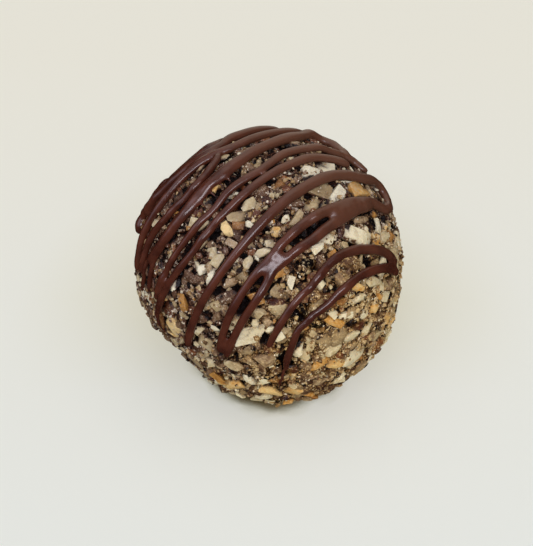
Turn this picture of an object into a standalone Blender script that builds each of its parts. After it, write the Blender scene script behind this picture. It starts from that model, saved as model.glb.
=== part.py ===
"""A hand-rolled nut bonbon: a ball of chopped nuts bound with praline paste, with milk chocolate
drizzled over it in parallel strands that turn back at the far side.

The origin is the middle of the small flat spot that the ball rests on, with +Z up. Every strand
lies in an upright plane. Those planes are parallel, and DRIZZLE_HEADING turns them about Z.
"""

import math

import bmesh
import bpy
import numpy as np
from mathutils import Matrix, Vector

# The ball, in metres and degrees.
BALL_RADIUS = 0.0188
BALL_SQUASH = 0.975
REST_RADIUS = 0.0058
ICOSPHERE_SUBDIVISIONS = 5
# Each hand-pressed swelling (+) or flat (-): azimuth, elevation, height and how far it spreads.
SWELLINGS = (
    (217, -27, -0.0018, 20),
    (194, -12, 0.0006, 14),
    (325, -25, 0.0011, 18),
    (277, -40, 0.0009, 14),
    (352, -6, -0.0004, 14),
    (136, 30, -0.0002, 20),
)
CHIP_COUNT = 520
CHIP_HEIGHT = 0.00034
CHIP_TILT = 0.17
CHIP_SEED = 12
FACETS_KEPT = 0.72

# The drizzle.
DRIZZLE_HEADING = 41
STRAND_RADIUS = 0.00086
STRAND_LIFT = 0.00032
STRAND_STEP = 0.0022
STRAND_BEVEL_RESOLUTION = 1
TIP_SHARE = 0.55
CLEARANCE = 0.0003

# Each strand runs through a few stations: its angle from the top of the ball in degrees, with
# minus on the near side, and its sideways offset from the ball's middle in millimetres. A node
# holds the strands that flow together.
DRIZZLE = {
    "drizzle_right": (
        ((-90, -15.3), (-57, -15.1), (-20, -15.7), (23, -15.6), (66, -15.6)),
        ((-70, -13.5), (-34, -13.3), (0, -13.3), (28, -14.1), (60, -14.9)),
    ),
    "drizzle_pair": (
        ((-84, -9.6), (-63, -10.1), (-40, -10.4), (-14, -10.0), (8, -10.2), (34, -9.4)),
        ((-82, -8.6), (-54, -8.5), (-20, -8.7), (11, -8.7), (34, -9.1), (54, -9.6)),
        ((-88, -4.3), (-66, -4.6), (-31, -5.1), (2, -4.5), (26, -4.7), (43, -5.2), (54, -5.3),
         (58, -6.9), (55, -8.7), (49, -9.3)),
    ),
    "drizzle_middle": (
        ((-88, 0.4), (-66, 0.8), (-38, -0.3), (10, -0.2), (26, -0.9), (40, -3.2)),
        ((-77, 2.1), (-55, 2.2), (-29, 1.4), (-17, 1.9), (-1, 1.4), (15, 2.0), (32, 0.9), (45, -0.8)),
        ((-72, 5.5), (-56, 5.3), (-38, 4.3), (5, 4.7), (30, 5.1), (44, 5.5), (50, 4.0), (48, 1.6),
         (45, -0.8)),
        ((42, 0.2), (47, -1.4), (49, -2.8), (50, -4.0)),
    ),
    "drizzle_left": (
        ((-76, 7.3), (-58, 8.2), (-40, 7.2), (-22, 6.6), (-5, 8.5)),
        ((-80, 8.9), (-62, 10.3), (-36, 10.2), (-14, 9.6), (2, 8.4), (26, 7.9), (48, 7.5),
         (63, 8.6), (58, 10.3), (42, 10.9)),
        ((46, 10.8), (14, 11.2), (-6, 10.7), (-30, 12.4), (-50, 13.3), (-62, 14.7), (-71, 14.5)),
    ),
}

COLOURS = {
    "nut_ball": (0.30, 0.17, 0.08, 1.0),
    "drizzle": (0.085, 0.028, 0.014, 1.0),
}


def clear_scene():
    for obj in list(bpy.data.objects):
        bpy.data.objects.remove(obj)


def new_collection(name):
    collection = bpy.data.collections.new(name)
    bpy.context.scene.collection.children.link(collection)
    return collection


def new_material(name, colour, roughness):
    material = bpy.data.materials.new(name)
    material.use_nodes = True
    shader = material.node_tree.nodes["Principled BSDF"]
    shader.inputs["Base Color"].default_value = colour
    shader.inputs["Roughness"].default_value = roughness
    shader.inputs["Metallic"].default_value = 0.0
    return material


def rest_height():
    """How high the ball's middle is when its base is cut to a flat spot of REST_RADIUS."""
    return BALL_SQUASH * math.sqrt(BALL_RADIUS**2 - REST_RADIUS**2)


def facing(azimuth, elevation):
    a = math.radians(azimuth)
    e = math.radians(elevation)
    return Vector((math.cos(a) * math.cos(e), math.sin(a) * math.cos(e), math.sin(e)))


def ball_radius(direction):
    """The distance from the ball's middle to its smooth surface, along a unit direction."""
    level = direction.x**2 + direction.y**2
    radius = BALL_RADIUS / math.sqrt(level + (direction.z / BALL_SQUASH) ** 2)
    for azimuth, elevation, height, spread in SWELLINGS:
        away = math.degrees(direction.angle(facing(azimuth, elevation)))
        radius += height * math.exp(-((away / spread) ** 2))
    return radius


def chips():
    """Chopped nuts spread evenly: unit directions, with each one's height and the slope of its top."""
    draw = np.random.default_rng(CHIP_SEED)
    turn = math.pi * (3 - math.sqrt(5))
    step = np.arange(CHIP_COUNT) + 0.5
    level = 1 - 2 * step / CHIP_COUNT
    ring = np.sqrt(1 - level**2)
    directions = np.stack([ring * np.cos(turn * step), ring * np.sin(turn * step), level], axis=1)
    directions += draw.normal(0, 0.6 / math.sqrt(CHIP_COUNT), directions.shape)
    directions /= np.linalg.norm(directions, axis=1, keepdims=True)
    heights = draw.uniform(-CHIP_HEIGHT, CHIP_HEIGHT, CHIP_COUNT)
    slopes = draw.normal(0, CHIP_TILT, directions.shape)
    return directions, heights, slopes


def relief(direction, laid):
    """How far the chip nearest to a direction stands above or below the smooth ball."""
    directions, heights, slopes = laid
    point = np.array(direction)
    nearest = int(np.argmax(directions @ point))
    away = (point - directions[nearest]) * BALL_RADIUS
    height = heights[nearest] + slopes[nearest] @ away
    return float(np.clip(height, -CHIP_HEIGHT, CHIP_HEIGHT))


def ball_mesh(name, grown, laid):
    """The ball as a mesh, its whole surface pushed out by grown."""
    middle = Vector((0, 0, rest_height()))
    bm = bmesh.new()
    bmesh.ops.create_icosphere(bm, subdivisions=ICOSPHERE_SUBDIVISIONS, radius=1.0)
    for vert in bm.verts:
        direction = vert.co.normalized()
        vert.co = middle + direction * (ball_radius(direction) + relief(direction, laid) + grown)
    mesh = bpy.data.meshes.new(name)
    bm.to_mesh(mesh)
    bm.free()
    return mesh


def table_block_mesh(name):
    """A block whose top is the table's surface, to cut the ball's flat spot."""
    bm = bmesh.new()
    bmesh.ops.create_cube(bm, size=3 * BALL_RADIUS)
    bmesh.ops.translate(bm, verts=bm.verts[:], vec=(0, 0, -1.5 * BALL_RADIUS))
    mesh = bpy.data.meshes.new(name)
    bm.to_mesh(mesh)
    bm.free()
    return mesh


def station_at(stations, share):
    """The point a share of the way along the stations, on a smooth curve through all of them."""
    last = len(stations) - 1
    place = min(share * last, last - 1e-9)
    first = int(place)
    t = place - first
    corners = [Vector(stations[min(max(first + k, 0), last)]) for k in (-1, 0, 1, 2)]
    a, b, c, d = corners
    return (
        b + t * (c - a) / 2 + t**2 * (a - 2.5 * b + 2 * c - d / 2) + t**3 * (3 * b - a - 3 * c + d) / 2
    )


def strand_point(station):
    """Where a station lies above the smooth ball."""
    angle = math.radians(station.x)
    offset = station.y / 1000 / BALL_RADIUS
    ring = math.sqrt(max(1 - offset**2, 0))
    direction = Vector((ring * math.sin(angle), offset, ring * math.cos(angle)))
    direction.rotate(Matrix.Rotation(math.radians(DRIZZLE_HEADING), 3, "Z"))
    return Vector((0, 0, rest_height())) + direction * (ball_radius(direction) + STRAND_LIFT)


def strand_route(stations):
    """Evenly spaced points along a strand."""
    fine = [strand_point(station_at(stations, k / 400)) for k in range(401)]
    travelled = [0.0]
    for before, after in zip(fine, fine[1:]):
        travelled.append(travelled[-1] + (after - before).length)
    count = round(travelled[-1] / STRAND_STEP)
    wanted = np.linspace(0, travelled[-1], count + 1)
    return [Vector([np.interp(w, travelled, [p[axis] for p in fine]) for axis in range(3)]) for w in wanted]


def strand_mesh(name, stations):
    """A strand as a closed tube that thins towards its two tips."""
    route = strand_route(stations)
    curve = bpy.data.curves.new(name, "CURVE")
    curve.dimensions = "3D"
    curve.bevel_depth = STRAND_RADIUS
    curve.bevel_resolution = STRAND_BEVEL_RESOLUTION
    curve.use_fill_caps = True
    spline = curve.splines.new("POLY")
    spline.points.add(len(route) - 1)
    for point, place in zip(spline.points, route):
        point.co = (*place, 1.0)
    spline.points[0].radius = TIP_SHARE
    spline.points[-1].radius = TIP_SHARE
    guide = bpy.data.objects.new(name, curve)
    bpy.context.scene.collection.objects.link(guide)
    bpy.context.view_layer.update()
    mesh = bpy.data.meshes.new_from_object(guide.evaluated_get(bpy.context.evaluated_depsgraph_get()))
    bpy.data.objects.remove(guide)
    bm = bmesh.new()
    bm.from_mesh(mesh)
    bmesh.ops.remove_doubles(bm, verts=bm.verts[:], dist=1e-6)
    bmesh.ops.recalc_face_normals(bm, faces=bm.faces[:])
    bm.to_mesh(mesh)
    bm.free()
    return mesh


def add_object(name, mesh, collection, material=None):
    obj = bpy.data.objects.new(name, mesh)
    collection.objects.link(obj)
    if material:
        mesh.materials.clear()
        mesh.materials.append(material)
        mesh.shade_smooth()
        mesh.set_sharp_from_angle(angle=math.radians(35))
    else:
        obj.hide_render = True
        obj.display_type = "WIRE"
    return obj


def add_decimate(obj):
    """Drops the triangles that say least, so the chips become flat facets."""
    modifier = obj.modifiers.new("facets", "DECIMATE")
    modifier.ratio = FACETS_KEPT


def add_boolean(obj, operation, other):
    modifier = obj.modifiers.new(f"{operation.lower()}_{other.name}", "BOOLEAN")
    modifier.operation = operation
    modifier.solver = "EXACT"
    modifier.object = other


def build():
    clear_scene()
    parts = new_collection("nut_bonbon")
    cutters = new_collection("cutters")
    laid = chips()
    nuts = new_material("chopped_nuts", COLOURS["nut_ball"], 0.7)
    chocolate = new_material("milk_chocolate", COLOURS["drizzle"], 0.3)
    table_block = add_object("table_block", table_block_mesh("table_block"), cutters)
    ball = add_object("nut_ball", ball_mesh("nut_ball", 0, laid), parts, nuts)
    add_decimate(ball)
    add_boolean(ball, "DIFFERENCE", table_block)
    clearance = add_object("ball_clearance", ball_mesh("ball_clearance", CLEARANCE, laid), cutters)
    add_decimate(clearance)
    for node, strands in DRIZZLE.items():
        drizzle = add_object(node, strand_mesh(node, strands[0]), parts, chocolate)
        for number, stations in enumerate(strands[1:], start=2):
            name = f"{node}_{number}"
            add_boolean(drizzle, "UNION", add_object(name, strand_mesh(name, stations), cutters))
        add_boolean(drizzle, "DIFFERENCE", clearance)


build()
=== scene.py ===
"""The looks of a hand-rolled nut bonbon: a ball of praline paste packed with chopped nuts, and
milk chocolate drizzled over it.

Every strand of drizzle follows its CAD node, and rests on the chopped nuts themselves.
"""

import math

import bmesh
import bpy
import numpy as np
from mathutils import Matrix, Vector, noise
from mathutils.bvhtree import BVHTree
from mathutils.kdtree import KDTree


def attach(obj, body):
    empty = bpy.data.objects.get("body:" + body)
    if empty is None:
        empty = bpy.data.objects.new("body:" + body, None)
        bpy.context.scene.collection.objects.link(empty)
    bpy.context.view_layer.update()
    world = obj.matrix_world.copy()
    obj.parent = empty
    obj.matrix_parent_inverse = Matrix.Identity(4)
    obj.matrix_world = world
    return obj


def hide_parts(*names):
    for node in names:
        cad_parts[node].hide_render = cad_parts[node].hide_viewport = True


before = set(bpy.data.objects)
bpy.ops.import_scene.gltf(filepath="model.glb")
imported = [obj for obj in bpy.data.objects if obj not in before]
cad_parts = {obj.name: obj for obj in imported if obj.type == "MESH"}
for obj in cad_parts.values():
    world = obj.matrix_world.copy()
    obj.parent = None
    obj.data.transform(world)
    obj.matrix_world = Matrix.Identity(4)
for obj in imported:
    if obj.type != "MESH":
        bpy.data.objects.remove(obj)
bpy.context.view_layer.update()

MM = 0.001
SEED = 5
BALL_MIDDLE = Vector((0, 0, 17.44 * MM))
BALL_RADIUS = 18.8 * MM
# The way the drizzle was drawn, in degrees from +X.
DRIZZLE_HEADING = 41

# The drizzle. A strand has its half width in millimetres, and its stations: the angle from the
# top of the ball in degrees, minus on the near side, and the sideways offset in millimetres.
DRIZZLE = {
    "drizzle_right": (
        (0.30, ((-84, -15.5), (-95, -15.3), (-106, -14.8), (-115, -14.4))),
        (0.57, ((-90, -15.6), (-57, -15.5), (-38, -15.7), (-20, -16.1), (23, -15.7), (66, -15.6))),
        (0.58, ((-70, -13.6), (-34, -13.8), (-14, -13.7), (8, -13.4), (28, -14.1), (60, -14.9))),
    ),
    "drizzle_pair": (
        (0.64, ((-84, -9.6), (-63, -10.1), (-40, -10.3), (-29, -9.9), (-20, -10.2), (-6, -10.4),
                (8, -10.2), (20, -9.9), (34, -9.3))),
        (0.63, ((-82, -8.6), (-54, -8.5), (-38, -8.6), (-26, -8.8), (-17, -8.5), (-4, -8.3),
                (10, -8.4), (24, -8.6), (40, -8.9), (55, -9.6))),
        (0.66, ((-88, -4.2), (-66, -4.5), (-31, -5.0), (2, -4.3), (26, -4.4), (43, -5.2),
                (55, -5.0), (60, -6.7), (57, -8.6), (50, -9.3))),
    ),
    "drizzle_middle": (
        (0.30, ((-82, 2.0), (-88, 1.5), (-94, 0.9))),
        (0.57, ((-85, 2.0), (-72, 1.5), (-60, 1.0), (-48, 0.3), (-34, 0.0), (-12, 0.1), (10, 0.0),
                (26, -0.5), (41, -2.8))),
        (0.55, ((-77, 2.9), (-64, 2.5), (-50, 2.4), (-29, 1.8), (-17, 2.2), (-1, 1.8), (15, 2.3),
                (32, 1.3), (46, -0.4))),
        (0.72, ((-66, 6.4), (-56, 5.7), (-38, 5.3), (-20, 5.4), (5, 5.4), (30, 5.4), (44, 5.8),
                (51, 4.2), (50, 1.8), (46, -0.8))),
        (0.58, ((43, 0.5), (49, -1.1), (51, -2.5), (52, -3.7))),
        (0.40, ((-56, 6.3), (-66, 7.0), (-75, 6.9), (-85, 6.9))),
        (0.42, ((-54, 5.2), (-64, 5.7), (-71, 5.3), (-79, 4.9))),
    ),
    "drizzle_left": (
        (0.58, ((-76, 7.6), (-58, 8.5), (-40, 7.5), (-22, 6.9), (-5, 8.8))),
        (0.64, ((-80, 9.1), (-62, 10.5), (-36, 10.7), (-14, 10.3), (2, 8.9), (26, 8.4), (48, 7.8),
                (63, 8.6), (58, 10.3), (42, 10.9))),
        (0.70, ((46, 10.8), (14, 11.5), (-6, 10.9), (-30, 12.8), (-50, 13.7), (-62, 14.8),
                (-71, 14.4))),
    ),
}

# Deep hollows left open in and between the strands: station and half width in millimetres.
HOLLOWS = (
    (-11.2, 3.75, 0.52), (-15.0, 3.75, 0.50), (-19.7, 3.65, 0.54), (-25.5, 3.65, 0.56), (-8, 3.9, 0.5),
    (-16.2, 9.3, 0.45), (-19.1, 9.2, 0.45), (-22.7, 9.1, 0.50), (-28.4, 8.9, 0.60),
    (6, 3.8, 0.50), (10, 3.7, 0.50), (14, 3.6, 0.55), (18, 3.6, 0.55), (22, 3.5, 0.55), (26, 3.4, 0.6),
    (30, 3.4, 0.6), (35, 3.6, 0.6), (6, 1.0, 0.45), (11, 1.2, 0.45), (16, 1.1, 0.50), (21, 0.9, 0.50),
    (-38, 9.0, 0.45), (-33, 9.0, 0.45), (-46, 12.2, 0.50), (-41, 12.2, 0.45), (-35, 11.9, 0.4),
    (-41, -9.4, 0.35), (-45, -9.4, 0.40), (-49.5, -9.4, 0.45), (-54, -9.3, 0.45), (-58, -9.3, 0.40),
    (-15, -9.35, 0.35), (-11, -9.35, 0.40), (-7, -9.35, 0.40), (-3, -9.35, 0.40), (1, -9.3, 0.35),
    (-37, -14.7, 0.9), (-30, -15.0, 0.5),
    (-67, -5.9, 0.6), (-72, -6.0, 0.5), (-62, 0.0, 0.5), (-68, 3.9, 0.5), (-74, 3.8, 0.5),
    (-28, -1.1, 0.4), (-33, -1.1, 0.4), (-44, -1.2, 0.4), (-34, -6.1, 0.4), (-53, -5.9, 0.45),
)

# Where strands ran into a thin sheet, at their side or between two of them: half its width, half its
# thickness and how high it lies in millimetres, its slope in degrees, and its stations.
SHEETS = {
    "drizzle_pair": (
        (0.78, 0.26, 0.76, 0, ((-35, -9.5), (-28, -9.4), (-20, -9.4))),
        (0.80, 0.80, 0.36, 0, ((9, -9.3), (22, -9.2), (40, -9.2))),
    ),
    "drizzle_middle": (
        (0.60, 0.27, 0.60, 45, ((-56, 5.4), (-46, 4.95), (-36, 4.75), (-28, 4.6), (-20, 4.6),
                                (-12, 4.7), (-4, 4.9), (4, 5.2), (12, 5.5))),
        (0.22, 0.22, 0.05, 0, ((-12.9, 4.35), (-13.1, 3.4))),
        (0.22, 0.22, 0.05, 0, ((-17.0, 4.35), (-17.3, 3.3))),
        (0.24, 0.24, 0.05, 0, ((-22.3, 4.35), (-22.6, 3.2))),
        (0.22, 0.22, 0.05, 0, ((-28.6, 4.35), (-29.0, 3.2))),
    ),
    "drizzle_left": (
        (0.85, 0.85, 0.08, 0, ((-74, 15.6), (-60, 15.6), (-46, 15.5), (-30, 15.1))),
        (0.80, 0.80, -0.36, 0, ((-34, 15.2), (-20, 14.9), (-4, 14.3), (14, 13.2))),
        (0.95, 0.95, 0.50, 0, ((-64, 15.0), (-69, 14.6), (-75, 14.2))),
        (1.00, 1.00, -0.10, 0, ((-60, 14.1), (-40, 14.0), (-20, 13.4), (0, 12.8), (14, 12.0))),
    ),
}

# The chopped nuts that stand out on the shown side, by kind. Each has its station, then how far
# its long side turns from the way the drizzle runs, in degrees, its length and width in
# millimetres, and its tone from 0, dark, to 1, pale. Another program printed most of these numbers.
LARGE_NUTS = {
    "pale": (
        (16, -2.5, 165, 3.5, 3.1, 0.8), (26, -2.5, 150, 2.8, 2.3, 0.8), (19, -7.3, 15, 4.2, 2.2, 1.0),
        (7, -6.7, 0, 3.3, 2.0, 0.4), (21, -12.4, 145, 4.8, 2.2, 0.9), (42, -11.6, 80, 2.1, 1.6, 0.8),
        (-5, -7.3, 10, 2.5, 1.3, 0.3), (-5, -11.5, 0, 2.0, 1.1, 0.9), (-17, -14.5, 160, 1.5, 1.5, 0.8),
        (-15, -17.7, 150, 2.0, 1.1, 0.9), (8, -17.3, 175, 2.9, 1.3, 0.7), (31, -16.6, 165, 4.0, 1.6, 0.6),
        (-66, -11.6, 125, 4.8, 2.3, 0.8), (-61, -14.1, 145, 1.7, 1.2, 0.9), (-68, -16.2, 170, 2.9, 1.3, 0.8),
        (-103, -11.9, 20, 2.8, 1.3, 0.9), (-70, -18.2, 130, 3.0, 1.6, 0.6), (-39, -18.6, 15, 2.7, 2.0, 0.7),
        (-16, -1.5, 165, 2.1, 1.5, 0.5), (-23, -1.6, 150, 2.7, 1.5, 0.3), (-22, -3.6, 110, 1.4, 1.0, 1.0),
        (-27, -7.6, 150, 2.7, 1.1, 0.6), (-35, -6.9, 10, 2.0, 1.2, 0.5), (-42, -3.4, 5, 2.0, 1.3, 0.5),
        (-50, -2.2, 155, 1.6, 1.3, 0.9), (-50, -3.8, 5, 2.2, 1.0, 0.9), (-81, -6.4, 90, 2.4, 2.0, 0.4),
        (-9, -6.4, 15, 1.4, 0.9, 0.7), (-29, -12.2, 25, 1.7, 0.9, 0.8), (-58, -11.4, 75, 1.4, 1.2, 0.7),
    ),
    "golden": (
        (37, -6.8, 175, 4.4, 3.1, 0.7), (-30, -17.4, 105, 3.2, 1.0, 0.6), (9, -16.5, 145, 2.8, 1.2, 0.8),
        (-12, -16.7, 155, 1.4, 1.0, 0.3), (39, -18.0, 35, 1.8, 1.2, 0.8), (55, -12.2, 95, 2.6, 2.2, 0.4),
        (-110, -9.9, 100, 3.1, 2.2, 0.8), (-107, -7.9, 40, 2.7, 1.2, 0.5), (-116, -13.5, 10, 3.5, 1.9, 0.9),
        (-124, -15.1, 40, 2.6, 2.2, 0.8), (-115, -18.3, 40, 3.6, 1.6, 0.8), (-30, -1.8, 75, 2.1, 1.2, 1.0),
        (-25, -2.6, 130, 1.7, 1.3, 0.2), (-16, -6.8, 165, 1.5, 1.5, 0.8), (-56, 6.4, 155, 4.1, 1.1, 1.0),
        (-68, -1.9, 35, 2.5, 1.3, 0.5), (-84, -0.7, 70, 3.1, 2.3, 1.0), (-86, 1.5, 10, 2.4, 1.0, 0.1),
    ),
    "tan": (
        (29, -10.8, 5, 3.2, 1.1, 0.8), (-82, -13.7, 110, 3.1, 2.2, 0.8), (-33, -3.6, 100, 1.7, 0.9, 0.9),
        (-47, -6.5, 145, 2.0, 1.2, 0.8), (-55, -12.6, 90, 1.5, 1.2, 0.8),
    ),
    # The dark ones listed here lie in black pits: near-black bits that also stand for the painted shade deep
    # in them.
    "dark": (
        (37, -11.3, 70, 2.0, 1.6, 0.3), (-15, -12.1, 135, 2.5, 1.2, 0.1), (-37, -14.8, 65, 2.4, 1.2, 0.2),
        (-41, -16.6, 105, 2.6, 1.2, 0.1), (-97, -14.0, 80, 2.1, 1.6, 0.9), (-49, -14.5, 150, 1.8, 1.2, 0.2),
    ),
    "skin": (
        (-96, -9.7, 60, 2.3, 2.0, 0.1), (-37, -3.5, 95, 1.4, 1.1, 0.2), (-9, -2.7, 130, 1.4, 1.0, 0.3),
        (-46, -0.7, 150, 1.4, 1.0, 0.5),
    ),
    "milk": ((-92, -16.0, 65, 2.0, 1.6, 0.5),),
}


# ---- directions and routes on the ball ----

def facing(angle, offset):
    """The unit direction of a station: an angle in degrees and a sideways offset in millimetres."""
    sideways = offset * MM / BALL_RADIUS
    ring = math.sqrt(max(1 - sideways**2, 0))
    tilt = math.radians(angle)
    direction = Vector((ring * math.sin(tilt), sideways, ring * math.cos(tilt)))
    direction.rotate(Matrix.Rotation(math.radians(DRIZZLE_HEADING), 3, "Z"))
    return direction


def station_at(stations, share):
    """The station a share of the way along, on a smooth curve through all of them."""
    last = len(stations) - 1
    place = min(share * last, last - 1e-9)
    first = int(place)
    t = place - first
    a, b, c, d = [Vector(stations[min(max(first + k, 0), last)]) for k in (-1, 0, 1, 2)]
    rise = (c - a) / 2
    sag = a - 2.5 * b + 2 * c - d / 2
    turn = (3 * b - a - 3 * c + d) / 2
    return b + rise * t + sag * t**2 + turn * t**3


def drop(tree, direction):
    """Where a line straight in to the ball's middle first meets a surface, and that face's normal."""
    start = BALL_MIDDLE + direction * (2 * BALL_RADIUS)
    place, normal, _, _ = tree.ray_cast(start, -direction)
    return place, normal


def smooth_ball():
    """The CAD ball with its chips smoothed away: a tree to lay things on."""
    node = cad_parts["nut_ball"].data
    cad = BVHTree.FromPolygons([v.co for v in node.vertices], [p.vertices for p in node.polygons])
    bm = bmesh.new()
    bmesh.ops.create_icosphere(bm, subdivisions=CORE_SUBDIVISIONS, radius=1)
    directions = np.array([v.co.normalized() for v in bm.verts])
    radii = np.array([(drop(cad, Vector(d))[0] - BALL_MIDDLE).length for d in directions])
    ends = np.array([[v.index for v in e.verts] for e in bm.edges])
    links = np.bincount(ends.ravel(), minlength=len(radii))
    for _ in range(SMOOTHING_PASSES):
        total = np.bincount(ends[:, 0], radii[ends[:, 1]], len(radii))
        total += np.bincount(ends[:, 1], radii[ends[:, 0]], len(radii))
        radii = total / links
    for vert, radius in zip(bm.verts, radii):
        vert.co = BALL_MIDDLE + vert.co.normalized() * radius
    tree = BVHTree.FromBMesh(bm)
    bm.free()
    return tree


CORE_SUBDIVISIONS = 7
SMOOTHING_PASSES = 60
ball = smooth_ball()


def strand_middles():
    """A tree of points along the middle of every strand on the smooth ball, with the number and the
    half width of the strand of each."""
    middles, owners, widths = [], [], []
    for number, (half_width, stations) in enumerate(sum(DRIZZLE.values(), ())):
        for k in range(POINTS_ALONG + 1):
            station = station_at(stations, k / POINTS_ALONG)
            middles.append(BALL_MIDDLE + facing(*station) * BALL_RADIUS)
            owners.append(number)
            widths.append(half_width)
    tree = KDTree(len(middles))
    for k, middle in enumerate(middles):
        tree.insert(middle, k)
    tree.balance()
    return tree, owners, widths


POINTS_ALONG = 80
strand_tree, strand_owners, strand_widths = strand_middles()
hollow_tree = KDTree(len(HOLLOWS))
for k, (angle, offset, _) in enumerate(HOLLOWS):
    hollow_tree.insert(BALL_MIDDLE + facing(angle, offset) * BALL_RADIUS, k)
hollow_tree.balance()
hollow_widths = [width * MM for _, _, width in HOLLOWS]
# Hollows stay open this far from a strand's middle, in patches of this size.
HOLLOW_REACH = 1.75 * MM
HOLLOW_PATCH = 1.4 * MM
# How readily one stays open beside a strand, and how much more readily between two.
OPEN_BESIDE = 0.26
OPEN_BETWEEN = 0.7


def hollow(place, reach=0.0):
    """How much a place, or a nut of that reach, lies in a hollow beside a strand, from 0 to 1. Warm
    drizzle bridges the gaps between nuts, so dark hollows stay open along its edges, and most of
    all between two strands."""
    level = BALL_MIDDLE + (Vector(place) - BALL_MIDDLE).normalized() * BALL_RADIUS
    _, index, distance = hollow_tree.find(level)
    if distance < hollow_widths[index] + reach:
        return 1.0
    found = strand_tree.find_range(level, HOLLOW_REACH)
    if not found:
        return 0.0
    _, index, distance = min(found, key=lambda entry: entry[2])
    from_edge = abs(distance / MM - strand_widths[index] - 0.1)
    beside = min(max(1.7 - 2.0 * from_edge, 0), 1)
    openness = OPEN_BESIDE + 2.0 * noise.noise(level / HOLLOW_PATCH)
    if any(strand_owners[k] != strand_owners[index] for _, k, _ in found):
        openness += OPEN_BETWEEN
    return beside * min(max(openness, 0), 1)


# ---- materials ----

def linear(hex_colour):
    """The linear colour of an sRGB hex value."""
    shares = [int(hex_colour[k:k + 2], 16) / 255 for k in (1, 3, 5)]
    return [s / 12.92 if s <= 0.04045 else ((s + 0.055) / 1.055) ** 2.4 for s in shares] + [1.0]


def add_node(material, kind, settings=None, links=None, out=0):
    """Adds a node, and gives back one of its outputs. Settings go to its properties, its ramp or its
    inputs, and links feed inputs."""
    tree = material.node_tree
    node = tree.nodes.new(kind)
    for name, value in (settings or {}).items():
        if name == "stops":
            elements = node.color_ramp.elements
            while len(elements) < len(value):
                elements.new(0.5)
            for element, (position, colour) in zip(elements, value):
                element.position = position
                element.color = linear(colour)
        elif isinstance(name, str) and hasattr(node, name):
            setattr(node, name, value)
        else:
            node.inputs[name].default_value = value
    for name, output in (links or {}).items():
        tree.links.new(output, node.inputs[name])
    return node.outputs[out] if node.outputs else None


def new_material(name):
    """A material with an empty tree, and the coordinates that its patterns are placed by."""
    material = bpy.data.materials.new(name)
    material.use_nodes = True
    material.node_tree.nodes.clear()
    return material, add_node(material, "ShaderNodeTexCoord", out="Object")


def finish_material(material, settings, links):
    """Closes a material with its one surface shader."""
    shader = add_node(material, "ShaderNodeBsdfPrincipled", settings, links)
    add_node(material, "ShaderNodeOutputMaterial", links={"Surface": shader})
    return material


# Fine nut crumb, dark to pale: as it is where cocoa paste has seeped into it, and where it is dry.
PASTY_CRUMB = (
    (0.30, "#0A0100"), (0.41, "#35160A"), (0.51, "#5C3B27"), (0.61, "#87715F"), (0.75, "#CFC5B4"),
)
DRY_CRUMB = (
    (0.31, "#120500"), (0.41, "#4E300E"), (0.50, "#8B6632"), (0.59, "#C29E62"), (0.75, "#EEDCAE"),
)
# The way to the side that is dry.
DRY_SIDE = (0.60, -0.79, -0.12)
# What oil and cocoa leave of the colour of nut flesh, and what toasting leaves of it where it's dry.
OILED = "#E7DECF"
TOASTED = "#F2E3C4"


def dryness(material, place):
    """How dry the crumb is, from 0 to 1. The ball was last rolled in dry nuts on one low side."""
    side = add_node(
        material, "ShaderNodeVectorMath", {"operation": "DOT_PRODUCT", 1: DRY_SIDE}, {0: place}, "Value"
    )
    drift = add_node(
        material, "ShaderNodeTexNoise", {"Scale": 1 / (3.5 * MM)}, {"Vector": place}
    )
    ragged = add_node(
        material, "ShaderNodeMath", {"operation": "MULTIPLY_ADD", 1: 14 * MM}, {0: drift, 2: side}
    )
    return add_node(
        material, "ShaderNodeMapRange", {"From Min": 11.0 * MM, "From Max": 20.0 * MM}, {"Value": ragged}
    )


def crumb_colour(material, shade, dry):
    """Fine crumb of a given shade, from pasty to dry."""
    pasty_crumb, dry_crumb = [
        add_node(material, "ShaderNodeValToRGB", {"stops": stops}, {"Fac": shade})
        for stops in (PASTY_CRUMB, DRY_CRUMB)
    ]
    return add_node(
        material, "ShaderNodeMix", {"data_type": "RGBA"}, {0: dry, 6: pasty_crumb, 7: dry_crumb}, 2
    )


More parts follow.
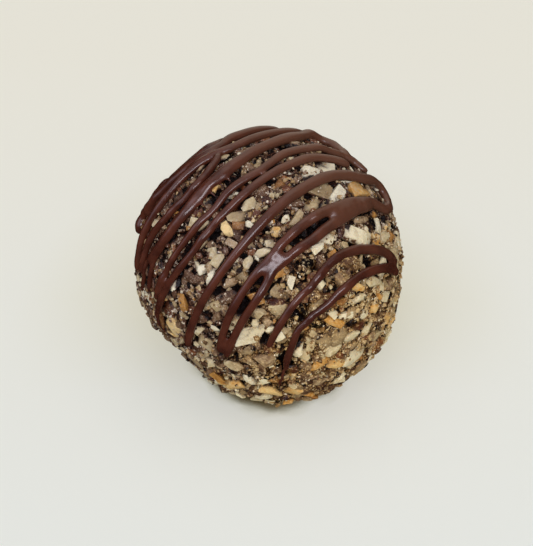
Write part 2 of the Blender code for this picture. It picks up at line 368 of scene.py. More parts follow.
def nut_material(name, stops, roughness=0.5, sheen=0.5, clinging=0.8, ragged=0.9):
    """Broken nut flesh pressed into paste. Each nut has a tone of its own along the stops and is
    mottled; crumb sticks to its top in patches, and paste creeps up its flanks, with painted shade
    that darkens them the lower they lie. Its faces are clean or ragged, from 0 to 1."""
    material, place = new_material(name)
    tone = add_node(material, "ShaderNodeAttribute", {"attribute_name": "tone"}, out="Fac")
    sunk = add_node(material, "ShaderNodeAttribute", {"attribute_name": "sunk"}, out="Fac")
    mottle = add_node(
        material, "ShaderNodeTexNoise",
        {"Scale": 1 / (0.8 * MM), "Detail": 4.0, "Roughness": 0.65}, {"Vector": place},
    )
    grit = add_node(
        material, "ShaderNodeTexNoise",
        {"Scale": 1 / (0.25 * MM), "Detail": 3.0, "Roughness": 0.7}, {"Vector": place},
    )
    shade = add_node(
        material, "ShaderNodeMath", {"operation": "MULTIPLY_ADD", 1: 1.1}, {0: mottle, 2: tone}
    )
    shade = add_node(material, "ShaderNodeMath", {"operation": "SUBTRACT", 1: 0.55}, {0: shade})
    flesh = add_node(material, "ShaderNodeValToRGB", {"stops": stops}, {"Fac": shade})
    drift = add_node(
        material, "ShaderNodeTexNoise",
        {"Scale": 1 / (1.6 * MM), "Detail": 3.0, "Roughness": 0.6}, {"Vector": place},
    )
    stuck = add_node(material, "ShaderNodeMath", {"operation": "ADD"}, {0: drift, 1: grit})
    crumbed = add_node(
        material, "ShaderNodeMapRange", {"From Min": 1.02, "From Max": 1.14, "To Max": clinging},
        {"Value": stuck},
    )
    depth = add_node(
        material, "ShaderNodeMath", {"operation": "MULTIPLY_ADD", 1: 1.6}, {0: mottle, 2: sunk}
    )
    pasted = add_node(
        material, "ShaderNodeMapRange", {"From Min": 1.03, "From Max": 1.62}, {"Value": depth}
    )
    covered = add_node(
        material, "ShaderNodeMath", {"operation": "MAXIMUM"}, {0: pasted, 1: crumbed}
    )
    # Painted shade: crumb and paste on a flank are darker the lower they lie below the nut's top, and darker
    # still in a hollow.
    painted_crevice_shade = add_node(
        material, "ShaderNodeMath", {"operation": "MULTIPLY_ADD", 1: -0.27}, {0: sunk, 2: grit}
    )
    shade = add_node(material, "ShaderNodeMath", {"operation": "ADD", 1: 0.08}, {0: painted_crevice_shade})
    dry = dryness(material, place)
    tint = add_node(
        material, "ShaderNodeMix", {"data_type": "RGBA", 6: linear(OILED), 7: linear(TOASTED)},
        {0: dry}, 2,
    )
    dull = add_node(
        material, "ShaderNodeMix", {"data_type": "RGBA", "blend_type": "MULTIPLY", 0: 1.0},
        {6: flesh, 7: tint}, 2,
    )
    coloured = add_node(
        material, "ShaderNodeMix", {"data_type": "RGBA"},
        {0: covered, 6: dull, 7: crumb_colour(material, shade, dry)}, 2,
    )
    broken = add_node(
        material, "ShaderNodeBump", {"Strength": ragged, "Distance": 0.30 * MM}, {"Height": mottle}
    )
    bump = add_node(
        material, "ShaderNodeBump", {"Strength": 0.9, "Distance": 0.10 * MM},
        {"Height": grit, "Normal": broken},
    )
    return finish_material(
        material,
        {"Roughness": roughness, "IOR": 1.47, "Specular IOR Level": sheen, "Subsurface Weight": 0.15,
         "Subsurface Radius": (1.0, 0.7, 0.4), "Subsurface Scale": 0.4 * MM},
        {"Base Color": coloured, "Normal": bump},
    )


def packed_material(name):
    """Fine chopped nuts packed tight in paste: a mosaic of ragged crumbs about 0.9 mm across, each
    of a shade and height of its own, with dark seams between them. Shade is painted on the paste
    the deeper it lies, darkest in the hollows."""
    material, place = new_material(name)
    stir = add_node(
        material, "ShaderNodeTexNoise", {"Scale": 1 / (0.6 * MM), "Detail": 3.0}, {"Vector": place},
        "Color",
    )
    ragged = add_node(
        material, "ShaderNodeVectorMath", {"operation": "MULTIPLY_ADD", 1: (0.9 * MM,) * 3},
        {0: stir, 2: place},
    )
    crumb = add_node(
        material, "ShaderNodeTexVoronoi", {"Scale": 1 / (0.95 * MM)}, {"Vector": ragged}, "Color"
    )
    seam = add_node(
        material, "ShaderNodeTexVoronoi", {"Scale": 1 / (0.95 * MM), "feature": "DISTANCE_TO_EDGE"},
        {"Vector": ragged}, "Distance",
    )
    grit = add_node(
        material, "ShaderNodeTexNoise",
        {"Scale": 1 / (0.25 * MM), "Detail": 3.0, "Roughness": 0.7}, {"Vector": place},
    )
    own = add_node(material, "ShaderNodeSeparateColor", links={"Color": crumb})
    mixed = add_node(
        material, "ShaderNodeMath", {"operation": "MULTIPLY_ADD", 1: 0.42}, {0: own, 2: grit}
    )
    raised = add_node(
        material, "ShaderNodeMapRange", {"From Max": 0.16, "To Min": -0.16, "To Max": 0.0}, {"Value": seam}
    )
    shade = add_node(material, "ShaderNodeMath", {"operation": "ADD"}, {0: mixed, 1: raised})
    # Painted shade: the paste is darker the deeper it lies, and darkest in the hollows.
    sunk = add_node(material, "ShaderNodeAttribute", {"attribute_name": "sunk"}, out="Fac")
    painted_crevice_shade = add_node(
        material, "ShaderNodeMath", {"operation": "MULTIPLY_ADD", 1: -0.30}, {0: sunk, 2: shade}
    )
    shade = add_node(material, "ShaderNodeMath", {"operation": "ADD", 1: 0.12}, {0: painted_crevice_shade})
    # One crumb in nine is cocoa, far darker than the rest.
    nib = add_node(
        material, "ShaderNodeMapRange",
        {"From Min": 0.10, "From Max": 0.13, "To Min": 0.50, "To Max": 0.20},
        {"Value": own.node.outputs[1]},
    )
    shade = add_node(material, "ShaderNodeMath", {"operation": "SUBTRACT"}, {0: shade, 1: nib})
    bump = add_node(
        material, "ShaderNodeBump", {"Strength": 1.0, "Distance": 0.35 * MM}, {"Height": shade}
    )
    return finish_material(
        material, {"Roughness": 0.5, "IOR": 1.47, "Specular IOR Level": 0.3},
        {"Base Color": crumb_colour(material, shade, dryness(material, place)), "Normal": bump},
    )


def chocolate_material(name, low, high, roughness):
    """Milk chocolate that set glossy: smooth, deep brown, with soft long highlights. Toward the top it
    is matte, and painted paler there for the dull sheen of the room's light."""
    material, place = new_material(name)
    upward = add_node(
        material, "ShaderNodeVectorMath", {"operation": "DOT_PRODUCT", 1: (0.45, 0.35, 0.82)},
        {0: place}, "Value",
    )
    # Toward the top, the colour is painted paler for the room's light, and the surface is matte.
    painted_light_and_matte_top = add_node(
        material, "ShaderNodeMapRange", {"From Min": 25.5 * MM, "From Max": 34.0 * MM}, {"Value": upward}
    )
    cloud = add_node(
        material, "ShaderNodeTexNoise", {"Scale": 1 / (2.5 * MM)}, {"Vector": place}
    )
    colour = add_node(
        material, "ShaderNodeValToRGB", {"stops": ((0.35, low), (0.65, high))}, {"Fac": cloud}
    )
    colour = add_node(
        material, "ShaderNodeMix", {"data_type": "RGBA", 7: linear("#5A3A2A")},
        {0: painted_light_and_matte_top, 6: colour}, 2,
    )
    dull = add_node(
        material, "ShaderNodeMapRange", {"To Min": roughness, "To Max": roughness + 0.14},
        {"Value": painted_light_and_matte_top},
    )
    ripple = add_node(
        material, "ShaderNodeTexNoise", {"Scale": 1 / (0.8 * MM)}, {"Vector": place}
    )
    bump = add_node(
        material, "ShaderNodeBump", {"Strength": 0.04, "Distance": 0.08 * MM}, {"Height": ripple}
    )
    return finish_material(
        material,
        {"IOR": 1.46, "Subsurface Weight": 0.05,
         "Subsurface Radius": (1.0, 0.4, 0.2), "Subsurface Scale": 0.5 * MM},
        {"Base Color": colour, "Roughness": dull, "Normal": bump},
    )


# ---- pieces ----

def new_piece(name, mesh, material, replaced=()):
    """Puts a finished mesh in the scene as a piece of the bonbon."""
    piece = bpy.data.objects.new(name, mesh)
    bpy.context.scene.collection.objects.link(piece)
    mesh.materials.append(material)
    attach(piece, "root")
    if replaced:
        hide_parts(*replaced)
    return piece


# Faces that meet at more than this, in degrees, show an edge.
EDGE_ANGLE = 28


def mesh_from_arrays(name, points, corners, **values):
    """A mesh of triangles, with a number kept at each vertex under each of the given names."""
    mesh = bpy.data.meshes.new(name)
    mesh.vertices.add(len(points))
    mesh.vertices.foreach_set("co", points.astype(np.float32).ravel())
    mesh.loops.add(corners.size)
    mesh.loops.foreach_set("vertex_index", corners.astype(np.int32).ravel())
    mesh.polygons.add(len(corners))
    mesh.polygons.foreach_set("loop_start", np.arange(0, corners.size, 3, dtype=np.int32))
    for label, numbers in values.items():
        mesh.attributes.new(label, "FLOAT", "POINT").data.foreach_set("value", numbers.astype(np.float32))
    mesh.update(calc_edges=True)
    mesh.validate()
    mesh.shade_smooth()
    mesh.set_sharp_from_angle(angle=math.radians(EDGE_ANGLE))
    return mesh


def arrays_of(bm):
    """The vertices and triangles of a bmesh, which it frees."""
    bmesh.ops.triangulate(bm, faces=bm.faces[:])
    bm.verts.index_update()
    points = np.array([v.co for v in bm.verts])
    corners = np.array([[v.index for v in f.verts] for f in bm.faces])
    bm.free()
    return points, corners


def unit_block(points, corners):
    """A shape moved to its own middle and stretched to be 1 across each way."""
    low, high = points.min(0), points.max(0)
    return (points - (low + high) / 2) / (high - low), corners


def cut_shape(draw, cuts, edge):
    """A chip with cut faces: a block with random corners cut off, and its edges broken."""
    bm = bmesh.new()
    bmesh.ops.create_cube(bm, size=1)
    for _ in range(cuts):
        slope = Vector(draw.normal(size=3)).normalized()
        cut = bmesh.ops.bisect_plane(
            bm, geom=bm.verts[:] + bm.edges[:] + bm.faces[:],
            plane_co=slope * draw.uniform(0.34, 0.50), plane_no=slope, clear_outer=True,
        )
        rim = [part for part in cut["geom_cut"] if isinstance(part, bmesh.types.BMEdge)]
        bmesh.ops.holes_fill(bm, edges=rim)
    bmesh.ops.dissolve_degenerate(bm, dist=0.04, edges=bm.edges[:])
    if edge:
        bmesh.ops.bevel(
            bm, geom=bm.edges[:], offset=edge, affect="EDGES", segments=1, profile=0.5,
            material=-1, clamp_overlap=True,
        )
    bmesh.ops.recalc_face_normals(bm, faces=bm.faces[:])
    return unit_block(*arrays_of(bm))


def broken_shape(draw, subdivisions, sides, crisp, rough):
    """A chip broken by hand: a ball pressed flat by random planes, which meet in edges as crisp as is
    said, with rough faces."""
    slopes = draw.normal(size=(sides, 3))
    slopes /= np.linalg.norm(slopes, axis=1, keepdims=True)
    reaches = draw.uniform(0.42, 1.0, sides)
    seed = Vector(draw.uniform(0, 50, 3))
    bm = bmesh.new()
    bmesh.ops.create_icosphere(bm, subdivisions=subdivisions, radius=1)
    for vert in bm.verts:
        direction = vert.co.normalized()
        pressed = np.maximum(slopes @ np.array(direction) / reaches, 0.0) ** crisp
        radius = (pressed.sum() + 0.2) ** (-1 / crisp)
        radius *= 1 + rough * noise.fractal(direction * 1.6 + seed, 0.8, 2.2, 5)
        vert.co = direction * radius
    return unit_block(*arrays_of(bm))


# ---- laying the chopped nuts ----

# The paste hides the rim of a nut, so a nut is this much larger than what shows of it.
GROWN = 1.06
# No nut is thicker than this, in millimetres.
THICKEST = 1.6
# How much further nuts stand out at the bottom of the ball, in millimetres.
LOW_STAND = 0.70
# On the dry side this is added to the shares of golden and pale nuts, and to the length of all.
DRY_GOLDEN = 0.05
DRY_PALE = 0.45
DRY_GROWTH = 0.35
# In a hollow, painted shade darkens a nut within this depth below its top, in millimetres.
CLEAR_FLANK = 0.35

# Where each nut that has been laid is, and how much room it takes.
laid_places = np.zeros((0, 3))
laid_room = np.zeros(0)
laid = {kind: [] for kind in LARGE_NUTS}


def put(kind, place, normal, along, size, lean, stand, tone, room):
    """Lays one nut: where, which way it faces and runs, its three sizes, how it leans, how far it
    stands out of the surface, its tone, and the room it takes from others."""
    global laid_places, laid_room
    if room:
        laid_places = np.vstack([laid_places, place])
        laid_room = np.append(laid_room, room)
    laid[kind].append((np.array(place), np.array(normal), np.array(along), size, lean, stand, tone))


def low_stand(direction):
    """How much further nuts stand out low on the ball, where the drizzle doesn't hold them down."""
    return LOW_STAND * min(max(-direction.z - 0.15, 0) * 2.5, 1)


def put_large_nuts(draw):
    for kind, nuts in LARGE_NUTS.items():
        for angle, offset, turn, length, width, tone in nuts:
            place, normal = drop(ball, facing(angle, offset))
            run = facing(angle + 1, offset) - facing(angle - 1, offset)
            run = (run - normal * run.dot(normal)).normalized()
            run.rotate(Matrix.Rotation(math.radians(turn), 3, normal))
            depth = min(0.75 * width, THICKEST)
            size = np.array((length, width, depth)) * GROWN * MM
            lean = (draw.normal(0, 0.10), draw.uniform(0, math.tau))
            room = 0.45 * math.sqrt(length * width) * MM
            stand = draw.uniform(0.22, 0.42) * MM
            stand += low_stand(facing(angle, offset)) * MM
            put(kind, place, normal, run, size, lean, stand, tone, room)


def scatter(kinds, draw, tries, length, width, depth, stands, closeness, tilt):
    """Throws nuts at the ball at random and keeps those that find room. Each is of one of the
    kinds, by its share. Its width is a share of its length, and its depth a share of its width."""
    names = list(kinds)
    for _ in range(tries):
        direction = Vector(draw.normal(size=3)).normalized()
        place, normal = drop(ball, direction)
        shares = np.array([kinds[name] for name in names], float)
        dry = max(direction.dot(Vector(DRY_SIDE)) - 0.3, 0)
        shares[names.index("golden")] += dry * DRY_GOLDEN
        shares[names.index("pale")] += dry * DRY_PALE
        shares /= shares.sum()
        long_side = math.exp(draw.uniform(math.log(length[0]), math.log(length[1]))) * MM
        long_side *= 1 + dry * DRY_GROWTH
        across = long_side * draw.uniform(*width)
        size = np.array((long_side, across, across * draw.uniform(*depth)))
        along = Vector(draw.normal(size=3)).cross(normal).normalized()
        lean = (draw.normal(0, tilt), draw.uniform(0, math.tau))
        stand = (draw.uniform(*stands) + low_stand(direction) * draw.uniform(0.5, 1.3)) * MM
        kind = names[draw.choice(len(names), p=shares)]
        tone = draw.beta(1.6, 1.9)
        room = closeness * math.sqrt(long_side * across) / 2
        gaps = np.linalg.norm(laid_places - np.array(place), axis=1)
        if (gaps > laid_room + room).all() and hollow(place, min(0.25 * across, 0.35 * MM)) < 0.5:
            put(kind, place, normal, along, size, lean, stand, tone, room)


def joined(name, nuts, tiers, draw):
    """One mesh of all the nuts of a kind, each a copy of a shape for its length. Every vertex keeps its
    nut's tone, and how far it is below that nut's top in millimetres, counted deeper in a hollow so
    that painted shade darkens the nut there."""
    points, corners, tones, depths, start = [], [], [], [], 0
    for place, normal, along, size, (lean, lean_way), stand, tone in nuts:
        shapes = next(shapes for shortest, shapes in tiers if size[0] >= shortest)
        shape, faces = shapes[draw.integers(len(shapes))]
        turn = np.stack([along, np.cross(normal, along), normal], axis=1)
        axis = Vector((math.cos(lean_way), math.sin(lean_way), 0))
        turn = turn @ np.array(Matrix.Rotation(lean, 3, axis))
        local = (shape * size) @ turn.T
        rise = local @ normal
        lift = stand - rise.max()
        points.append(local + place + normal * lift)
        corners.append(faces + start)
        tones.append(np.full(len(shape), tone))
        depths.append((rise.max() - rise) / MM)
        start += len(shape)
    points = np.concatenate(points)
    points[:, 2] = np.maximum(points[:, 2], 0.0)
    shadowed = np.array([hollow(point) for point in points])
    depths = np.concatenate(depths)
    depths = depths + shadowed * np.clip(depths / CLEAR_FLANK, 0, 1)
    return mesh_from_arrays(
        name, points, np.concatenate(corners), tone=np.concatenate(tones), sunk=depths
    )


draw = np.random.default_rng(SEED)
put_large_nuts(draw)
# The share of each kind among the nuts that are thrown at random.
KINDS = {"pale": 0.26, "golden": 0.04, "tan": 0.46, "skin": 0.13, "dark": 0.06, "milk": 0.05}
scatter(
    KINDS, draw, tries=2500, length=(2.0, 3.8), width=(0.50, 0.90), depth=(0.45, 0.7),
    stands=(-0.15, 0.30), closeness=0.68, tilt=0.25,
)
scatter(
    KINDS, draw, tries=5000, length=(1.2, 2.0), width=(0.50, 0.95), depth=(0.5, 0.9),
    stands=(-0.30, 0.30), closeness=0.64, tilt=0.40,
)
scatter(
    KINDS, draw, tries=9000, length=(0.6, 1.2), width=(0.5, 0.95), depth=(0.6, 1.0),
    stands=(-0.35, 0.25), closeness=0.68, tilt=0.50,
)

# The shapes of each size, and from which length on they are used. Small nuts have fewer faces.
crumb_shapes = [cut_shape(draw, 4, 0) for _ in range(12)]
long_broken = [broken_shape(draw, 4, 8, 70, 0.09) for _ in range(16)]
middle_broken = [broken_shape(draw, 3, 8, 55, 0.13) for _ in range(16)]
middle_cut = [cut_shape(draw, 9, 0.02) for _ in range(8)]
short_broken = [broken_shape(draw, 2, 7, 34, 0.30) for _ in range(14)]
short_cut = [cut_shape(draw, 7, 0) for _ in range(8)]
chips = [cut_shape(draw, 8, 0.03) for _ in range(14)]
NUT_TIERS = (
    (3.3 * MM, long_broken), (2.0 * MM, middle_broken + middle_cut), (0.0, short_broken + short_cut),
)
CHIP_TIERS = ((1.5 * MM, chips + middle_broken[:7]), (0.0, short_broken + short_cut))
CRUMB_TIERS = ((0.0, crumb_shapes),)

# Each kind of nut has its piece, its material, the colours of its flesh from dark to pale, and what
# sets it apart.
NUT_KINDS = {
    # Blanched almond: ivory and matte, with clean split faces.
    "pale": (
        "pale_nut_chips", "blanched nut flesh, broken",
        ((0.00, "#7E6D53"), (0.32, "#AD9F80"), (0.54, "#CDC7AC"), (0.82, "#EBEFE4")),
        {"clinging": 0.35, "ragged": 0.6},
    ),
    # Roasted peanut and hazelnut: amber, a little oily.
    "golden": (
        "golden_nut_chips", "roasted nut flesh, broken",
        ((0.00, "#5E3A16"), (0.30, "#966A30"), (0.60, "#CE9E4F"), (0.95, "#ECD9A6")),
        {"clinging": 0.38, "ragged": 0.8},
    ),
    # Toasted nuts rubbed with paste: grey-brown and dull.
    "tan": (
        "tan_nut_chips", "toasted nut flesh, broken",
        ((0.00, "#3A1F12"), (0.35, "#593E2B"), (0.65, "#7E6751"), (0.95, "#BDAD92")),
        {"sheen": 0.4, "clinging": 0.75},
    ),
    # The papery skin of hazelnuts: dark red-brown, with a faint shine.
    "skin": (
        "nut_skin_bits", "nut skin, red-brown",
        ((0.00, "#1E0A06"), (0.35, "#411A0E"), (0.65, "#6B3A1C"), (0.95, "#95633A")),
        {"roughness": 0.4},
    ),
    # Roasted cocoa nib: near black, and it takes up the light. Those listed in black pits also stand for the
    # painted shade there.
    "dark": (
        "dark_cocoa_bits_and_pit_shade", "dark cocoa nib and painted pit shade",
        ((0.10, "#060100"), (0.60, "#0B0302"), (0.95, "#1F0F08")), {"roughness": 0.6, "sheen": 0.1},
    ),
    # Flakes of milk chocolate: warm brown and smooth.
    "milk": (
        "milk_chocolate_bits", "milk chocolate crumb",
        ((0.00, "#3B1C10"), (0.95, "#6B3F2A")), {"roughness": 0.35},
    ),
}
pieces = []
for kind, (name, finish, flesh, settings) in NUT_KINDS.items():
    tiers = CHIP_TIERS if kind in ("pale", "golden") else NUT_TIERS
    mesh = joined(name, laid[kind], tiers, draw)
    pieces.append(new_piece(name, mesh, nut_material(finish, flesh, **settings)))


# The paste lies this deep below the smooth ball, and deeper by this in a hollow. It has coarse and
# fine lumps: their size and height. All are in millimetres.
PASTE_DEPTH = 0.42
HOLLOW_DEPTH = 1.5
COARSE_LUMP, COARSE_HEIGHT = 1.6, 0.45
FINE_LUMP, FINE_HEIGHT = 0.6, 0.30


def paste_core():
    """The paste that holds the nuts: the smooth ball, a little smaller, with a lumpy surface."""
    bm = bmesh.new()
    bmesh.ops.create_icosphere(bm, subdivisions=CORE_SUBDIVISIONS, radius=1)
    sunk = bm.verts.layers.float.new("sunk")
    for vert in bm.verts:
        direction = vert.co.normalized()
        surface, normal = drop(ball, direction)
        lump = noise.noise(surface / (COARSE_LUMP * MM)) * COARSE_HEIGHT
        lump += noise.noise(surface / (FINE_LUMP * MM)) * FINE_HEIGHT
        deep = PASTE_DEPTH - lump + HOLLOW_DEPTH * hollow(surface)
        vert.co = surface - normal * deep * MM
        vert.co.z = max(vert.co.z, 0)
        # The depth is kept for the paste's colour, which has shade painted in where it lies deep.
        vert[sunk] = deep
    mesh = bpy.data.meshes.new("praline_paste")
    bm.to_mesh(mesh)
    bm.free()
    mesh.shade_smooth()
    return mesh


pieces.append(new_piece("praline_paste", paste_core(), packed_material("packed praline"), ["nut_ball"]))


# ---- crumbs ----

def bed_tree():
    """A tree of all that has been laid, for crumbs and drizzle to rest on."""
    points, faces, start = [], [], 0
    for piece in pieces:
        mesh = piece.data
        places = np.empty(len(mesh.vertices) * 3, np.float32)
        mesh.vertices.foreach_get("co", places)
        corners = np.empty(len(mesh.polygons) * 3, np.int32)
        mesh.loops.foreach_get("vertex_index", corners)
        points.append(places.reshape(-1, 3))
        faces.append(corners.reshape(-1, 3) + start)
        start += len(mesh.vertices)
    return BVHTree.FromPolygons(np.concatenate(points).tolist(), np.concatenate(faces).tolist())


def sprinkle(kind, draw, count, length, low_ground):
    """Drops crumbs on what has been laid. They gather on low ground, between the nuts."""
    laid[kind] = []
    while len(laid[kind]) < count:
        direction = Vector(draw.normal(size=3)).normalized()
        place, normal = drop(bed, direction)
        level, _ = drop(ball, direction)
        height = ((place - BALL_MIDDLE).length - (level - BALL_MIDDLE).length) / MM
        chance = 1 / (1 + math.exp((height - low_ground) / 0.08)) + STRAY_SHARE
        if draw.uniform() > chance or hollow(place) > 0.4:
            continue
        long_side = math.exp(draw.uniform(math.log(length[0]), math.log(length[1]))) * MM
        size = long_side * np.array((1, draw.uniform(0.6, 1), draw.uniform(0.5, 0.9)))
        along = Vector(draw.normal(size=3)).cross(normal).normalized()
        put(kind, place, normal, along, size, (draw.normal(0, 0.5), draw.uniform(0, math.tau)),
            0.45 * long_side, draw.uniform(), 0)


# The share of crumbs that stay on high ground.
STRAY_SHARE = 0.05
bed = bed_tree()
sprinkle("crumb", draw, count=3800, length=(0.25, 0.75), low_ground=-0.1)
# White sugar grains, which also stand for painted glints among the nuts.
sprinkle("grain", draw, count=1300, length=(0.15, 0.36), low_ground=0.2)
crumb_flesh = nut_material(
    "fine nut crumb",
    ((0.00, "#1C0D06"), (0.35, "#5E4223"), (0.65, "#A08357"), (0.98, "#D9CAA6")))
sugar_and_painted_glints = nut_material("sugar grain, painted glint", ((0.0, "#D9D4C8"), (1.0, "#F6F3EC")), roughness=0.15)
for name, kind, material in (("nut_crumbs", "crumb", crumb_flesh), ("sugar_grains_and_painted_glints", "grain", sugar_and_painted_glints)):
    pieces.append(new_piece(name, joined(name, laid[kind], CRUMB_TIERS, draw), material))
bed = bed_tree()


# ---- the drizzle ----

STRAND_SIDES = 12
STEPS_ALONG = 160
# A strand's middle lies above what it rests on by this share of its half width.
STRAND_LIFT = 0.60
# How far a strand strays sideways in millimetres, and the share by which it swells and thins.
SWAY = 0.16
SWELL = 0.14
# How far a strand sags below the level of the ball where it spans a hollow.
SAG = 0.10 * MM
# A strand is this share wider where it was poured, on top, than where it ran down, and it is drawn
# out thin at its ends.
POOLED = 0.36
THIN_END = 0.78
DRAWN_OUT = 1.6 * MM
# The strands of a group are run together at this fineness, then settle by so many smoothings.
FLOW_FINENESS = 0.16 * MM
SETTLINGS = 24


def strand_line(stations, half_width, half_thickness, lift, seed):
    """The middle line of a strand as it lies on the chips, and half its width and thickness there."""
    directions, heights, widths, swellings = [], [], [], []
    for k in range(STEPS_ALONG + 1):
        share = k / STEPS_ALONG
        angle, offset = station_at(stations, share)
        sway = noise.noise(Vector((share * 9, seed, 0.3)))
        swell = noise.noise(Vector((share * 14, seed, 7.1)))
        offset += SWAY * sway
        directions.append(facing(angle, offset))
        poured = min(max((angle + 50) / 70, 0), 1)
        widths.append(half_width * (1.02 + POOLED * poured + SWELL * swell))
        swellings.append(0.98 + SWELL * swell)
        probes = []
        for side in (-0.5, 0, 0.5):
            probe = facing(angle, offset + side * half_width)
            probes.append((drop(bed, probe)[0] - BALL_MIDDLE).length)
        level = (drop(ball, facing(angle, offset))[0] - BALL_MIDDLE).length
        heights.append(max(np.mean(probes), level - SAG))
    heights = np.array(heights)
    turns = sum((b - a).length for a, b in zip(directions, directions[1:]))
    spread = max(int(round(0.8 * MM / (turns * BALL_RADIUS / STEPS_ALONG))), 1)
    padded = np.pad(heights, spread, mode="edge")
    window = np.lib.stride_tricks.sliding_window_view(padded, 2 * spread + 1)
    over = np.percentile(window, 70, axis=1)
    kernel = np.hanning(2 * spread + 3)
    kernel /= kernel.sum()
    smooth = np.convolve(np.pad(over, spread + 1, mode="edge"), kernel, mode="valid")
    return [
        (BALL_MIDDLE + direction * (height + lift * swelling * MM), wide * MM,
         half_thickness * swelling * MM)
        for direction, height, wide, swelling in zip(directions, smooth, widths, swellings)
    ]


def strand_tube(bm, line, slope):
    """A round strand along a line, with rounded ends: rings joined one to the next. It slopes down
    to its right by that many degrees."""
    fall, flat = math.sin(math.radians(slope)), math.cos(math.radians(slope))
    places = [place for place, _, _ in line]
    rings = []
    last = len(line) - 1
    reach = 0.0
    total = sum((b - a).length for a, b in zip(places, places[1:]))
    for k, (place, half_width, half_thick) in enumerate(line):
        if k:
            reach += (place - places[k - 1]).length
        along = (places[min(k + 1, last)] - places[max(k - 1, 0)]).normalized()
        up = (place - BALL_MIDDLE).normalized()
        side = along.cross(up).normalized()
        side, up = side * flat - up * fall, up * flat + side * fall
        end = min(reach, total - reach)
        taper = math.sqrt(max(1 - (1 - min(end / half_width, 1)) ** 2, 0.02))
        taper *= THIN_END + (1 - THIN_END) * min(end / DRAWN_OUT, 1)
        ring = bmesh.ops.create_circle(bm, cap_ends=False, segments=STRAND_SIDES, radius=1)["verts"]
        for vert in ring:
            x, y = vert.co.x, vert.co.y
            vert.co = place + side * (x * half_width * taper) + up * (y * half_thick * taper)
        rings.append(ring)
    for near, far in zip(rings, rings[1:]):
        for k in range(STRAND_SIDES):
            j = (k + 1) % STRAND_SIDES
            bm.faces.new((near[k], near[j], far[j], far[k]))
    bm.faces.new(rings[0][::-1])
    bm.faces.new(rings[-1])


def drizzle_mesh(name, strands, sheets, number):
    """One group of strands and its sheets, run together into one body of chocolate."""
    bm = bmesh.new()
    flows = [(width, width, STRAND_LIFT * width, 0, stations) for width, stations in strands]
    for k, (width, thickness, lift, slope, stations) in enumerate(flows + list(sheets)):
        strand_tube(bm, strand_line(stations, width, thickness, lift, number * 10 + k), slope)
    for edge in [e for e in bm.edges if e.is_wire]:
        bm.edges.remove(edge)
    bmesh.ops.recalc_face_normals(bm, faces=bm.faces[:])
    mesh = bpy.data.meshes.new(name)
    bm.to_mesh(mesh)
    bm.free()
    rough = bpy.data.objects.new(name + "_rough", mesh)
    bpy.context.scene.collection.objects.link(rough)
    remesh = rough.modifiers.new("flow", "REMESH")
    remesh.mode = "VOXEL"
    remesh.voxel_size = FLOW_FINENESS
    settle = rough.modifiers.new("settle", "SMOOTH")
    settle.factor = 0.5
    settle.iterations = SETTLINGS
    graph = bpy.context.evaluated_depsgraph_get()
    flowed = bpy.data.meshes.new_from_object(rough.evaluated_get(graph))
    bpy.data.objects.remove(rough)
    flowed.name = name
    flowed.shade_smooth()
    return flowed


milk_chocolate = chocolate_material("milk chocolate, set glossy", "#3B1B12", "#4F281B", 0.26)
for number, (node, strands) in enumerate(DRIZZLE.items()):
    name = node.replace("drizzle", "chocolate_drizzle")
    mesh = drizzle_mesh(name, strands, SHEETS.get(node, ()), number)
    pieces.append(new_piece(name, mesh, milk_chocolate, [node]))


# ---- floor, light and camera ----

def floor_material():
    """A pale, matte table top, with shade painted into its colour: dark close under the ball, where
    little light gets in, and a faint warm halo of shade around it.
    """
    material, place = new_material("pale matte table top")
    under = add_node(
        material, "ShaderNodeAmbientOcclusion", {"samples": 24, "Distance": 3.2 * MM}, out="AO"
    )
    # A painted contact shadow, dark close under the ball.
    painted_contact_shadow = add_node(
        material, "ShaderNodeValToRGB",
        {"stops": ((0.52, "#564A2E"), (0.63, "#80735D"), (0.72, "#B1AFA0"), (0.79, "#DCDBD4"),
                   (0.85, "#F2F1EC"), (1.0, "#FFFFFF"))},
        {"Fac": under},
    )
    way = add_node(material, "ShaderNodeSeparateXYZ", links={"Vector": place}, out=1)
    away = add_node(
        material, "ShaderNodeMapRange", {"From Min": -60 * MM, "From Max": 60 * MM}, {"Value": way}
    )
    top = add_node(
        material, "ShaderNodeValToRGB", {"stops": ((0.0, "#F0F4F2"), (1.0, "#F3F1E6"))}, {"Fac": away}
    )
    # A painted shadow: a faint warm halo around the ball, warmest behind it.
    open_to_light = add_node(
        material, "ShaderNodeAmbientOcclusion", {"samples": 16, "Distance": 24 * MM}, out="AO"
    )
    behind = add_node(
        material, "ShaderNodeMapRange", {"From Min": -10 * MM, "From Max": 8 * MM}, {"Value": way}
    )
    halo_shadow_tint = add_node(
        material, "ShaderNodeMix",
        {"data_type": "RGBA", 6: linear("#FFFFFF"), 7: linear("#F5F0DC")}, {0: behind}, 2,
    )
    near = add_node(
        material, "ShaderNodeMapRange", {"From Min": 1.0, "From Max": 0.5}, {"Value": open_to_light}
    )
    painted_halo_shadow = add_node(
        material, "ShaderNodeMix", {"data_type": "RGBA", 6: linear("#FFFFFF")}, {0: near, 7: halo_shadow_tint}, 2
    )
    shade = top
    for shadow in (painted_contact_shadow, painted_halo_shadow):
        shade = add_node(
            material, "ShaderNodeMix", {"data_type": "RGBA", "blend_type": "MULTIPLY", 0: 1.0},
            {6: shade, 7: shadow}, 2,
        )
    return finish_material(
        material, {"Roughness": 0.9, "IOR": 1.45, "Specular IOR Level": 0.2}, {"Base Color": shade}
    )


bm = bmesh.new()
bmesh.ops.create_grid(bm, x_segments=1, y_segments=1, size=1.5)
floor_mesh = bpy.data.meshes.new("floor")
bm.to_mesh(floor_mesh)
bm.free()
floor = bpy.data.objects.new("floor", floor_mesh)
bpy.context.scene.collection.objects.link(floor)
floor_mesh.materials.append(floor_material())
floor.visible_glossy = False


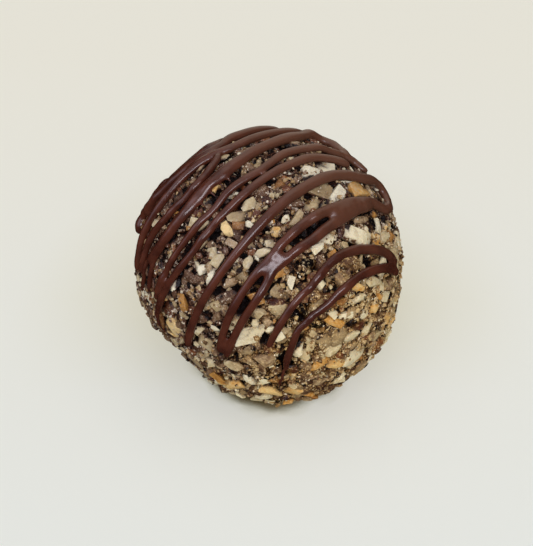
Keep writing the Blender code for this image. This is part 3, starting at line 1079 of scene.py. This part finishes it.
def collection_of(name, members):
    """A collection that a light can be kept to. It isn't in the scene."""
    collection = bpy.data.collections.new(name)
    for member in members:
        collection.objects.link(member)
    return collection


the_bonbon = collection_of("bonbon", pieces)
the_table = collection_of("table", [floor])
# The long side of every light runs along the drizzle, so its reflection does too.
heading = math.radians(DRIZZLE_HEADING)
DRIZZLE_WAY = Vector((math.cos(heading), math.sin(heading), 0))


def add_light(name, direction, distance, size, radiance, colour, onto=None, glossy=True):
    """A soft rectangular light that looks at the ball. It can be kept to one collection, and out
    of the gloss."""
    data = bpy.data.lights.new(name, "AREA")
    data.shape = "RECTANGLE"
    data.size, data.size_y = size
    data.energy = radiance * math.pi * size[0] * size[1]
    data.color = colour
    lamp = bpy.data.objects.new(name, data)
    bpy.context.scene.collection.objects.link(lamp)
    away = Vector(direction).normalized()
    lamp.location = BALL_MIDDLE + away * distance
    long_way = away.cross(DRIZZLE_WAY).cross(away).normalized()
    lamp.rotation_euler = Matrix((long_way.cross(away), long_way, away)).transposed().to_euler()
    lamp.visible_glossy = glossy
    if onto:
        lamp.light_linking.receiver_collection = onto
    return lamp


NEUTRAL = (1.0, 0.995, 0.99)
WARM = (1.0, 0.87, 0.72)
# Each has the way to it, its distance and its size in metres, its radiance and its colour.
add_light("key", (0.08, -0.58, 0.81), 0.9, (0.20, 0.62), 14.3, (0.96, 0.92, 1.0), the_bonbon)
add_light("back wall", (0.15, 0.90, 0.35), 1.0, (2.0, 1.0), 0.8, (1.0, 0.86, 0.72), the_bonbon)
add_light("ceiling", (-0.45, 0.25, 0.85), 1.0, (1.6, 1.6), 0.7, (0.97, 0.95, 1.0), the_bonbon)
add_light("front wall", (-0.45, -0.75, 0.40), 1.0, (1.6, 0.9), 0.75, WARM, the_bonbon, glossy=False)
add_light(
    "right wall", (0.90, -0.35, 0.25), 1.0, (0.9, 0.9), 0.8, (1.0, 0.90, 0.74), the_bonbon, glossy=False,
)
sky = add_light(
    "sky at the left", (-0.75, -0.20, 0.62), 1.0, (0.7, 0.7), 1.6, (0.86, 0.82, 1.0), the_bonbon,
)
sky.visible_diffuse = False
add_light("over the table", (0.0, -0.2, 1.0), 1.3, (1.6, 1.6), 0.15, NEUTRAL, the_table, glossy=False)
table_lamp = add_light(
    "table", (0.0, -0.15, 1.0), 1.6, (2.4, 2.4), 1.54, NEUTRAL, the_table, glossy=False,
)
table_lamp.data.use_shadow = False

world = bpy.data.worlds.new("soft room light")
bpy.context.scene.world = world
world.use_nodes = True
world.node_tree.nodes["Background"].inputs["Color"].default_value = (1.0, 0.975, 0.93, 1)
world.node_tree.nodes["Background"].inputs["Strength"].default_value = 0.22
world.cycles_visibility.glossy = False

CAMERA_ELEVATION = math.radians(50)
CAMERA_DISTANCE = 0.3
PICTURE_HEIGHT = 546
camera_data = bpy.data.cameras.new("camera")
camera_data.sensor_width = 36
camera_data.lens = 139.4
camera_data.shift_x = -3.5 / PICTURE_HEIGHT
camera_data.shift_y = -9 / PICTURE_HEIGHT
camera = bpy.data.objects.new("camera", camera_data)
bpy.context.scene.collection.objects.link(camera)
back = Vector((0, -math.cos(CAMERA_ELEVATION), math.sin(CAMERA_ELEVATION)))
camera.location = BALL_MIDDLE + back * CAMERA_DISTANCE
camera.rotation_euler = back.to_track_quat("Z", "Y").to_euler()
bpy.context.scene.camera = camera
bpy.context.scene.view_settings.view_transform = "Standard"
